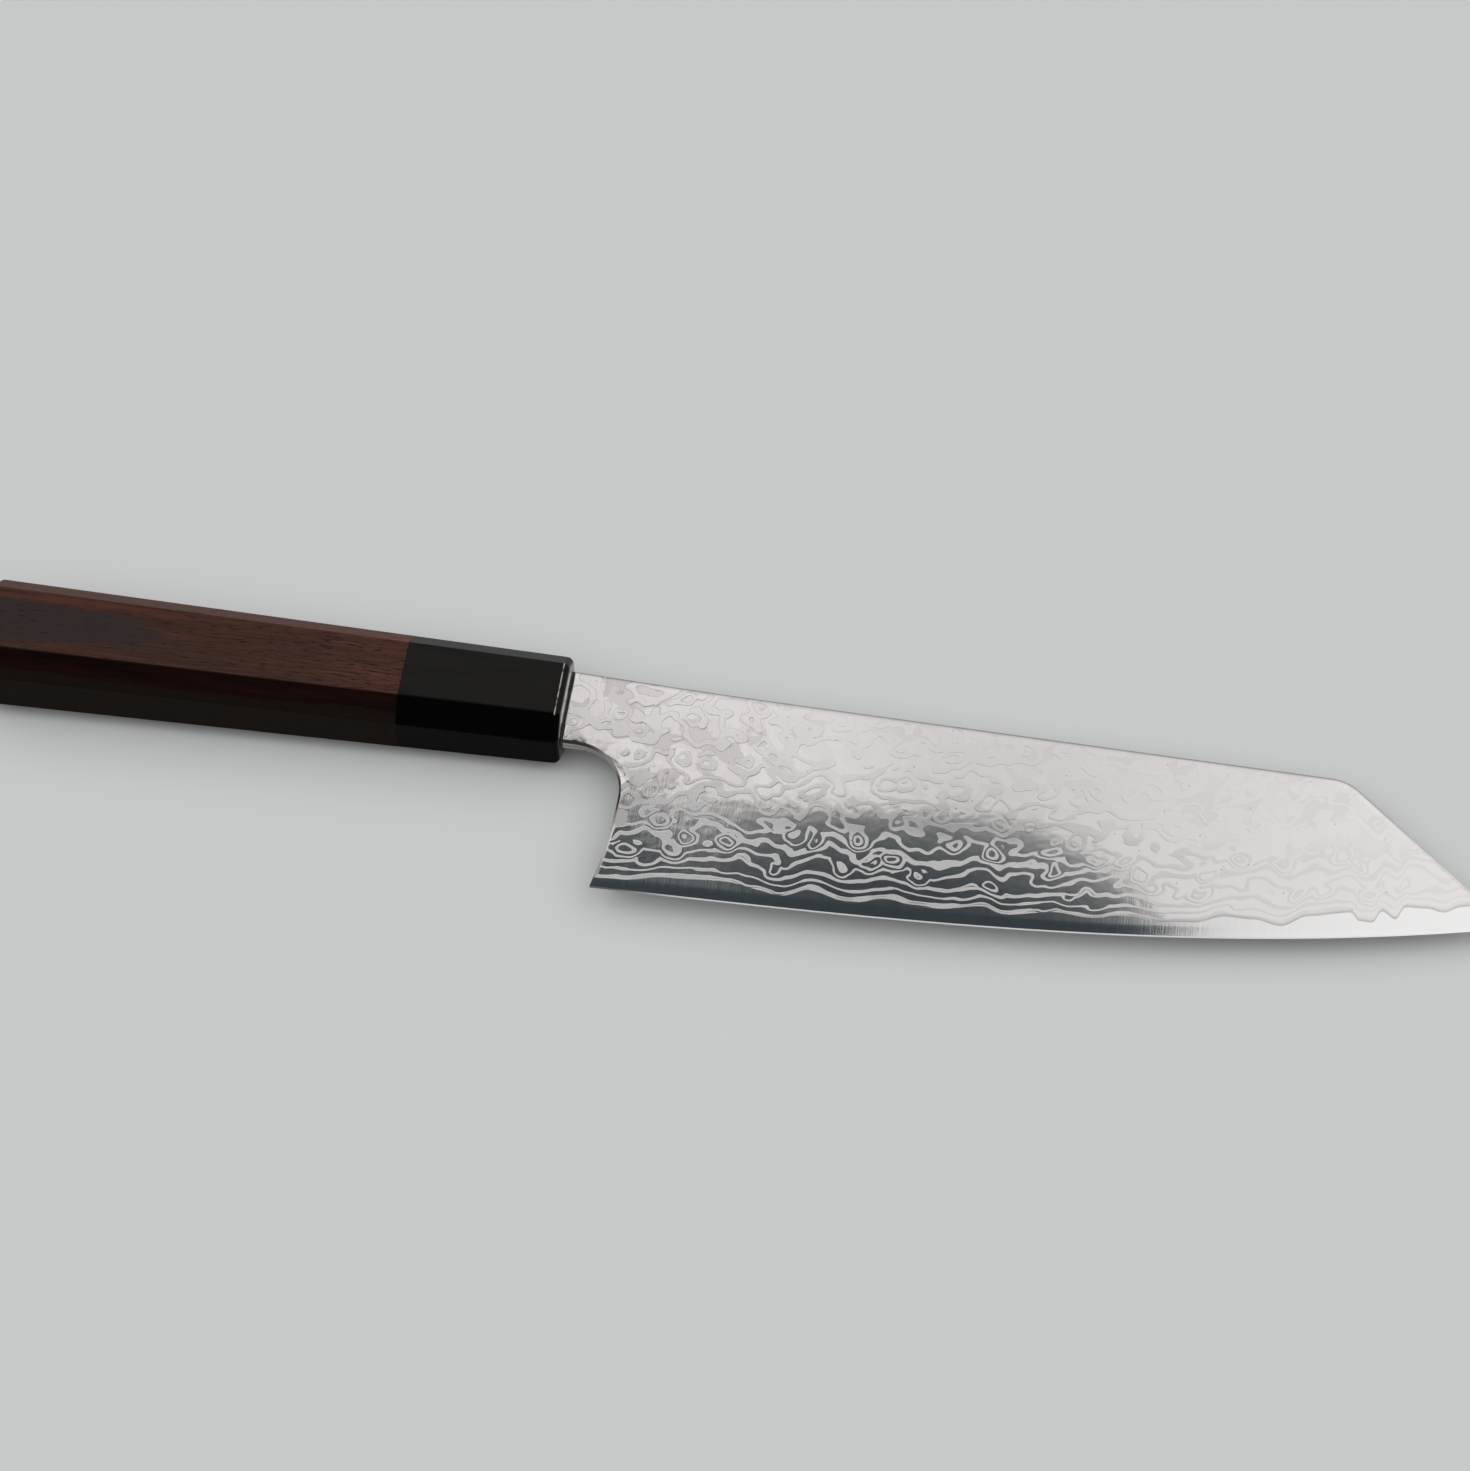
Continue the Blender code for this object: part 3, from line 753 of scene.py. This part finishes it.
def patterned_steel():
    """Two steels folded together: one polishes to a mirror, the other etches pale and matt."""
    finish = Finish("patterned_steel")
    along, above_edge, up = finish.parts(finish.millimetres("forging"))
    choil, out, spine = finish.parts(finish.millimetres("border"))
    side = finish.times(finish.calc("GREATER_THAN", out, 0.0), BACK_SHIFT)
    pale, relief_shade, dull = pale_lines(finish, along, up, side)
    fine, broad = brushing(finish, along, up)
    bevel = finish.span(choil, 0.44, 0.56, 1.0, 0.0)
    pale = finish.times(pale, finish.minus(1.0, bevel))
    clear = finish.span(along, *LINES_FADE_ALONG, 1.0, 0.05)
    high = finish.span(up, *UPPER_FACE_ABOVE_WELD)

    mirror = finish.mix(finish.span(fine, 0.30, 0.70), (0.69, 0.665, 0.662),
                        (0.75, 0.722, 0.718))
    mirror = finish.mix(clear, (0.735, 0.718, 0.713), mirror)
    etched = finish.mix(dull, (0.88, 0.875, 0.875), (0.69, 0.69, 0.695))
    etched = finish.mix(high, etched, (0.79, 0.775, 0.77))
    polished = finish.mix(pale, mirror, finish.mix(clear, (0.745, 0.732, 0.727), etched))
    patches = finish.ramp(steel_patches(finish, along, up, side), (
        (0.22, (0.79, 0.775, 0.775)), (0.36, (0.92, 0.90, 0.90)), (0.60, (1.0, 1.0, 1.0))))
    depth = finish.times(high, finish.span(clear, 0.0, 1.0, 0.22, 1.0))
    depth = finish.times(depth, finish.minus(1.0, finish.times(pale, 0.8)))
    colour = finish.mix(depth, polished, patches, "MULTIPLY")
    # The painted relief shade darkens the steel round the pale lines
    relief_shade = finish.times(relief_shade, finish.span(clear, 0.0, 1.0, 0.03, 0.36))
    colour = finish.mix(relief_shade, colour, (0.32, 0.31, 0.31))

    fleck = polish_fleck(finish, along, above_edge, up)
    colour = finish.mix(fleck, colour, (0.47, 0.44, 0.41))
    seam = finish.times(finish.span(up, 0.15, 0.85, 0.75, 0.0),
                        finish.span(along, *SEAM_SETS_IN_ALONG))
    colour = finish.mix(seam, colour, (0.50, 0.49, 0.49))
    pits = finish.node("TexVoronoi", {"Vector": finish.whole(along, up, side),
                                      "Scale": PITS_PER_MM},
                       voronoi_dimensions="2D").outputs["Distance"]
    colour = finish.mix(finish.span(pits, 0.007, 0.015, 0.8, 0.0), colour, (0.20, 0.19, 0.19))
    colour = finish.mix(bevel, colour, (0.42, 0.41, 0.39))
    # Painted shade: a darker band along the spine's eased rim
    rim = finish.span(spine, 0.10, 1.00, 0.50, 0.0)
    colour = finish.mix(rim, colour, (0.50, 0.49, 0.48))

    matt = finish.span(up, 13.0, 20.0, 0.205, finish.span(clear, 0.0, 1.0, 0.05, 0.09))
    rough = finish.plus(finish.times(pale, matt), 0.04)
    rough = finish.plus(rough, finish.times(finish.minus(broad, 0.5), 0.04))
    rough = finish.plus(rough, finish.times(bevel, 0.20))
    rough = finish.calc("MAXIMUM", rough, finish.times(fleck, 0.42))
    ripples = finish.noise(finish.cells(along, up, RIPPLE_CELL, side), detail=1.0)
    lines = finish.bump(fine, GRINDING_DEPTH, finish.bump(ripples, RIPPLE_DEPTH))
    relief = finish.bump(finish.times(pale, finish.span(clear, 0.0, 1.0, 0.35, 1.0)),
                         LAYER_DEPTH, lines)
    finish.set(Base_Color=colour, Metallic=1.0, Roughness=rough, Normal=relief)
    return finish.material


def core_steel():
    """Hard core: fine grinding lines across the edge and a honed cutting bevel."""
    finish = Finish("core_steel")
    along, up, _ = finish.parts(finish.millimetres("forging"))
    choil, _, _ = finish.parts(finish.millimetres("border"))
    fine, broad = brushing(finish, along, up)
    honed = finish.span(up, *HONED_ABOVE_EDGE, 1.0, 0.0, smooth=False)
    wall = finish.span(choil, 0.02, 0.20, 1.0, 0.0)
    toward_tip = finish.span(along, *CORE_PALES_ALONG)

    colour = finish.ramp(broad, ((0.3, (0.73, 0.735, 0.74)), (0.7, (0.77, 0.77, 0.77))))
    colour = finish.mix(finish.span(fine, 0.25, 0.75, 0.5, 0.0), colour, (0.62, 0.62, 0.625))
    colour = finish.mix(toward_tip, colour, (0.80, 0.80, 0.80))
    dull = finish.times(honed, finish.span(along, *EDGE_CLEARS_ALONG, 0.9, 0.0))
    colour = finish.mix(dull, colour, (0.05, 0.05, 0.05))
    colour = finish.mix(wall, colour, (0.30, 0.28, 0.265))

    rough = finish.plus(finish.times(honed, 0.28), finish.plus(finish.times(fine, 0.05), 0.03))
    ground = finish.times(fine, finish.span(toward_tip, 0.0, 1.0, 1.0, 0.35))
    finish.set(Base_Color=colour, Metallic=1.0, Roughness=rough,
               Normal=finish.bump(ground, CORE_GRINDING_DEPTH))
    return finish.material


def chamfer_levels(finish, along, across):
    """How far out a point is on the edge side and the spine side, along the chamfer lines."""
    closing = finish.times(along, CHAMFER_TAPER)
    return finish.minus(closing, across), finish.plus(across, closing)


def rosewood():
    """Oiled rosewood: brown with open pores, painted shade on the edge side, painted light on the
    spine side and a greyish patch of painted sheen at the butt.
    """
    finish = Finish("rosewood")
    place = finish.millimetres("handle")
    along, across, _ = finish.parts(place)
    edge_level, spine_level = chamfer_levels(finish, along, across)
    grain = finish.noise(finish.stretched(place, (0.09, 2.4, 2.4)), detail=3.0, roughness=0.6)
    figure = finish.noise(finish.stretched(place, (0.045, 0.30, 0.30)))
    blotch = finish.noise(finish.stretched(place, (0.06, 0.45, 0.45), shift=(7, 3, 0)),
                          detail=3.0)

    brown = finish.ramp(grain, ((0.28, (0.024, 0.0120, 0.0085)), (0.50, (0.037, 0.0180, 0.0125)),
                                (0.74, (0.056, 0.0265, 0.0185))))
    brown = finish.mix(finish.span(figure, 0.35, 0.65), brown, (1.18, 1.08, 1.04), "MULTIPLY")
    brown = finish.mix(finish.span(along, -80.0, -35.0), brown, (1.34, 1.25, 1.25), "MULTIPLY")
    sway = finish.plus(across, finish.times(blotch, 3.0))
    off_streak = finish.calc("ABSOLUTE", finish.minus(sway, STREAK_ACROSS))
    streak = finish.times(finish.span(off_streak, 0.35, 1.25, 1.0, 0.0),
                          finish.span(along, -92.0, -70.0, 1.0, 0.0))
    streak = finish.times(streak, finish.span(grain, 0.25, 0.60, 0.35, 1.0))
    colour = finish.mix(streak, brown, (0.066, 0.0245, 0.0155))

    # Painted sheen: a greyish patch on the top flat at the butt
    run = finish.over(finish.plus(along, SHEEN_PATCH_START), SHEEN_PATCH_LENGTH)
    run = finish.calc("POWER", run, 3.0)
    width = finish.calc("POWER", finish.over(across, SHEEN_PATCH_HALF_WIDTH), 2.0)
    ragged = finish.times(finish.minus(blotch, 0.5), 1.1)
    sheen_patch = finish.plus(finish.plus(run, width), ragged)
    colour = finish.mix(finish.span(sheen_patch, 1.15, 0.85), colour, (0.0270, 0.0190, 0.0180))
    # Painted light: the spine-side chamfer is coloured brighter, as if lit from behind
    colour = finish.mix(finish.span(spine_level, *CHAMFER_START), colour, (1.75, 1.35, 1.15),
                        "MULTIPLY")
    # Painted shade: the edge-side chamfer is coloured all but black, as if turned away from the
    # light
    edge_side_shade = finish.ramp(blotch, ((0.40, (0.0046, 0.0018, 0.0016)),
                                (0.70, (0.0115, 0.0034, 0.0030))))
    colour = finish.mix(finish.span(edge_level, *CHAMFER_START), colour, edge_side_shade)
    # More painted shade, reaching over the edge-side face with a wavy border
    shade_reach = finish.minus(edge_level, finish.times(blotch, 5.0))
    colour = finish.mix(finish.span(shade_reach, 6.2, 7.4), colour, (0.0095, 0.0062, 0.0040))

    pores = finish.noise(finish.stretched(place, (0.36, 3.6, 3.6)), detail=1.0)
    pores = finish.plus(pores, finish.span(along, -110.0, -30.0, -0.05, 0.03))
    pores = finish.span(pores, 0.60, 0.68)
    colour = finish.mix(finish.times(pores, 0.80), colour, (0.007, 0.004, 0.003))
    rough = finish.plus(finish.times(grain, 0.2), 0.36)
    gloss = finish.span(edge_level, *CHAMFER_START, 0.08, 0.02)
    finish.set(Base_Color=colour, Roughness=rough, Specular_IOR_Level=gloss,
               Normal=finish.bump(finish.minus(grain, pores), WOOD_GRAIN_DEPTH))
    return finish.material


def black_ferrule():
    """Black filled wood: satin sides, painted shade on the edge-side chamfer, a painted highlight
    line along the top arris and a front face polished like glass.
    """
    finish = Finish("black_ferrule")
    place = finish.millimetres("handle")
    along, across, up = finish.parts(place)
    edge_level, spine_level = chamfer_levels(finish, along, across)
    front = finish.span(along, -0.30, -0.02)

    grain = finish.noise(finish.stretched(place, (0.05, 0.9, 0.9)), detail=4.0)
    colour = finish.ramp(grain, ((0.35, (0.0058, 0.0055, 0.0047)),
                                 (0.75, (0.0092, 0.0086, 0.0070))))
    # Painted shade: the edge-side chamfer is coloured all but black
    colour = finish.mix(finish.span(edge_level, *FERRULE_EDGE_CHAMFER_START), colour,
                        (0.0012, 0.0012, 0.0012))
    # Painted highlight: a thin pale line along the top arris behind the front face, broken up by
    # noise
    off_highlight_line = finish.calc("ABSOLUTE", finish.plus(along, HIGHLIGHT_LINE_BEHIND_FRONT))
    painted_highlight = finish.times(finish.span(off_highlight_line, 0.05, 0.16, 1.0, 0.0),
                          finish.span(up, 8.2, 8.5))
    highlight_breakup = finish.noise(finish.stretched(place, (0.6, 0.6, 0.6)))
    painted_highlight = finish.times(painted_highlight, finish.span(highlight_breakup, 0.40, 0.60, 0.15, 1.0))
    colour = finish.mix(painted_highlight, colour, (0.42, 0.41, 0.39))

    rough = finish.plus(finish.times(grain, 0.08), 0.20)
    rough = finish.minus(rough, finish.times(front, 0.16))
    gloss = finish.calc("MINIMUM",
                        finish.span(edge_level, *FERRULE_EDGE_CHAMFER_START, 0.09, 0.02),
                        finish.span(spine_level, *CHAMFER_START, 0.09, 0.028))
    gloss = finish.calc("MAXIMUM", gloss, finish.span(front, 0.0, 1.0, 0.0, 0.60))
    finish.set(Base_Color=colour, Roughness=rough, Specular_IOR_Level=gloss,
               Normal=finish.bump(grain, FERRULE_GRAIN_DEPTH))
    return finish.material


def pale_wood():
    """Bare dowel wood, hidden in the handle."""
    finish = Finish("pale_wood")
    place = finish.node("TexCoord").outputs["Object"]
    grain = finish.noise(finish.stretched(place, (30, 900, 900)), detail=4.0)
    colour = finish.ramp(grain, ((0.3, (0.52, 0.38, 0.22)), (0.7, (0.66, 0.51, 0.32))))
    finish.set(Base_Color=colour, Roughness=finish.span(grain, 0.2, 0.8, 0.5, 0.7),
               Normal=finish.bump(grain, WOOD_GRAIN_DEPTH))
    return finish.material


def black_resin():
    """Bed of resin round the tang."""
    finish = Finish("black_resin")
    place = finish.node("TexCoord").outputs["Object"]
    grain = finish.noise(finish.stretched(place, (1500, 1500, 1500)), detail=3.0)
    colour = finish.ramp(grain, ((0.3, (0.012, 0.011, 0.010)), (0.7, (0.026, 0.024, 0.021))))
    finish.set(Base_Color=colour, Roughness=finish.span(grain, 0.2, 0.8, 0.07, 0.14),
               Normal=finish.bump(grain, RESIN_GRAIN_DEPTH))
    return finish.material


def floor_finish():
    """Pale matt table top, hardly mottled."""
    finish = Finish("pale_floor")
    place = finish.node("TexCoord").outputs["Object"]
    mottle = finish.noise(finish.stretched(place, (9, 9, 9)))
    colour = finish.ramp(mottle, ((0.3, (0.580, 0.600, 0.597)), (0.7, (0.586, 0.606, 0.603))))
    finish.set(Base_Color=colour, Roughness=0.9, Specular_IOR_Level=0.1)
    return finish.material


# Studio

def make_floor():
    """Table top under the knife."""
    bpy.ops.mesh.primitive_plane_add(size=FLOOR_SIZE)
    floor = bpy.context.object
    floor.name = "floor"
    floor.data.materials.append(floor_finish())


def make_flag():
    """Grey card over the table, which the polished steel mirrors near the edge."""
    finish = Finish("grey_card")
    place = finish.node("TexCoord").outputs["Object"]
    sideways, forward, _ = finish.parts(place)
    bend = finish.times(finish.times(sideways, sideways),
                        finish.minus(FLAG_BEND, finish.times(sideways, FLAG_BEND_LOSS)))
    toward_rim = finish.plus(forward, bend)
    colour = finish.ramp(finish.span(toward_rim, *FLAG_SHADED_BETWEEN, smooth=False), FLAG_SHADES)
    finish.set(Base_Color=colour, Roughness=1.0, Specular_IOR_Level=0.0)
    bm = bmesh.new()
    bm.faces.new([bm.verts.new((x, y, FLAG_HEIGHT)) for x, y in FLAG_OUTLINE])
    mesh = bpy.data.meshes.new("flag")
    bm.to_mesh(mesh)
    bm.free()
    mesh.materials.append(finish.material)
    flag = bpy.data.objects.new("flag", mesh)
    bpy.context.scene.collection.objects.link(flag)


def make_key_light():
    """Square soft lamp, aimed at the knife, that a mirror sees at its named brightness."""
    lamp = bpy.data.lights.new("key_light", "AREA")
    lamp.shape = "RECTANGLE"
    lamp.size = lamp.size_y = KEY_LIGHT_SIZE
    lamp.energy = KEY_LIGHT_BRIGHTNESS * math.pi * KEY_LIGHT_SIZE ** 2
    lamp.color = LIGHT_COLOUR
    holder = bpy.data.objects.new("key_light", lamp)
    bpy.context.scene.collection.objects.link(holder)
    holder.location = KEY_LIGHT_PLACE
    holder.rotation_mode = "QUATERNION"
    holder.rotation_quaternion = (-Vector(KEY_LIGHT_PLACE)).to_track_quat("-Z", "Y")


def studio_level(tree, parts, levels):
    """Product of the gains that a list of levels gives to a direction's parts."""
    level = None
    for axis, low, high, start, end in levels:
        gain = tree.nodes.new("ShaderNodeMapRange")
        gain.interpolation_type = "SMOOTHSTEP"
        for key, value in (("From Min", low), ("From Max", high), ("To Min", start),
                           ("To Max", end)):
            gain.inputs[key].default_value = value
        tree.links.new(parts.outputs[axis], gain.inputs["Value"])
        if level is None:
            level = gain.outputs[0]
            continue
        product = tree.nodes.new("ShaderNodeMath")
        product.operation = "MULTIPLY"
        tree.links.new(level, product.inputs[0])
        tree.links.new(gain.outputs[0], product.inputs[1])
        level = product.outputs[0]
    return level


def make_studio():
    """Pale studio all round: its levels light matt surfaces, and plainer ones are mirrored."""
    world = bpy.data.worlds.new("studio")
    bpy.context.scene.world = world
    world.use_nodes = True
    tree = world.node_tree
    direction = tree.nodes.new("ShaderNodeTexCoord")
    parts = tree.nodes.new("ShaderNodeSeparateXYZ")
    tree.links.new(direction.outputs["Generated"], parts.inputs[0])
    seen_in = tree.nodes.new("ShaderNodeLightPath")
    choice = tree.nodes.new("ShaderNodeMix")
    tree.links.new(seen_in.outputs["Is Glossy Ray"], choice.inputs[0])
    tree.links.new(studio_level(tree, parts, MATT_LEVELS), choice.inputs[2])
    tree.links.new(studio_level(tree, parts, MIRRORED_LEVELS), choice.inputs[3])
    background = tree.nodes["Background"]
    background.inputs["Color"].default_value = (*LIGHT_COLOUR, 1)
    tree.links.new(choice.outputs[0], background.inputs["Strength"])


def make_camera():
    """Camera at the photograph's viewing angle."""
    camera = bpy.data.cameras.new("camera")
    camera.sensor_width = SENSOR_WIDTH
    camera.lens = CAMERA_LENS
    camera.clip_start, camera.clip_end = NEAREST_SEEN, FARTHEST_SEEN
    holder = bpy.data.objects.new("camera", camera)
    bpy.context.scene.collection.objects.link(holder)
    azimuth, elevation = math.radians(CAMERA_AZIMUTH), math.radians(CAMERA_ELEVATION)
    back = Vector((math.sin(azimuth) * math.cos(elevation),
                   -math.cos(azimuth) * math.cos(elevation), math.sin(elevation)))
    level = (-back).to_track_quat("-Z", "Y").to_matrix().to_4x4()
    roll = Matrix.Rotation(math.radians(CAMERA_ROLL), 4, "Z")
    place = Matrix.Translation(Vector(AIM) + back * CAMERA_DISTANCE)
    holder.matrix_world = place @ level @ roll
    bpy.context.scene.camera = holder


make_camera()
make_blade(core_steel(), patterned_steel())
make_handle_part("black_ferrule", "ferrule", black_ferrule())
make_handle_part("rosewood_grip", "handle_grip", rosewood())
for node, finish in (("tenon_dowel", pale_wood()), ("tang_seal", black_resin())):
    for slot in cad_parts[node].material_slots:
        slot.material = finish
make_floor()
make_flag()
make_key_light()
make_studio()
bpy.context.scene.view_settings.view_transform = "Standard"
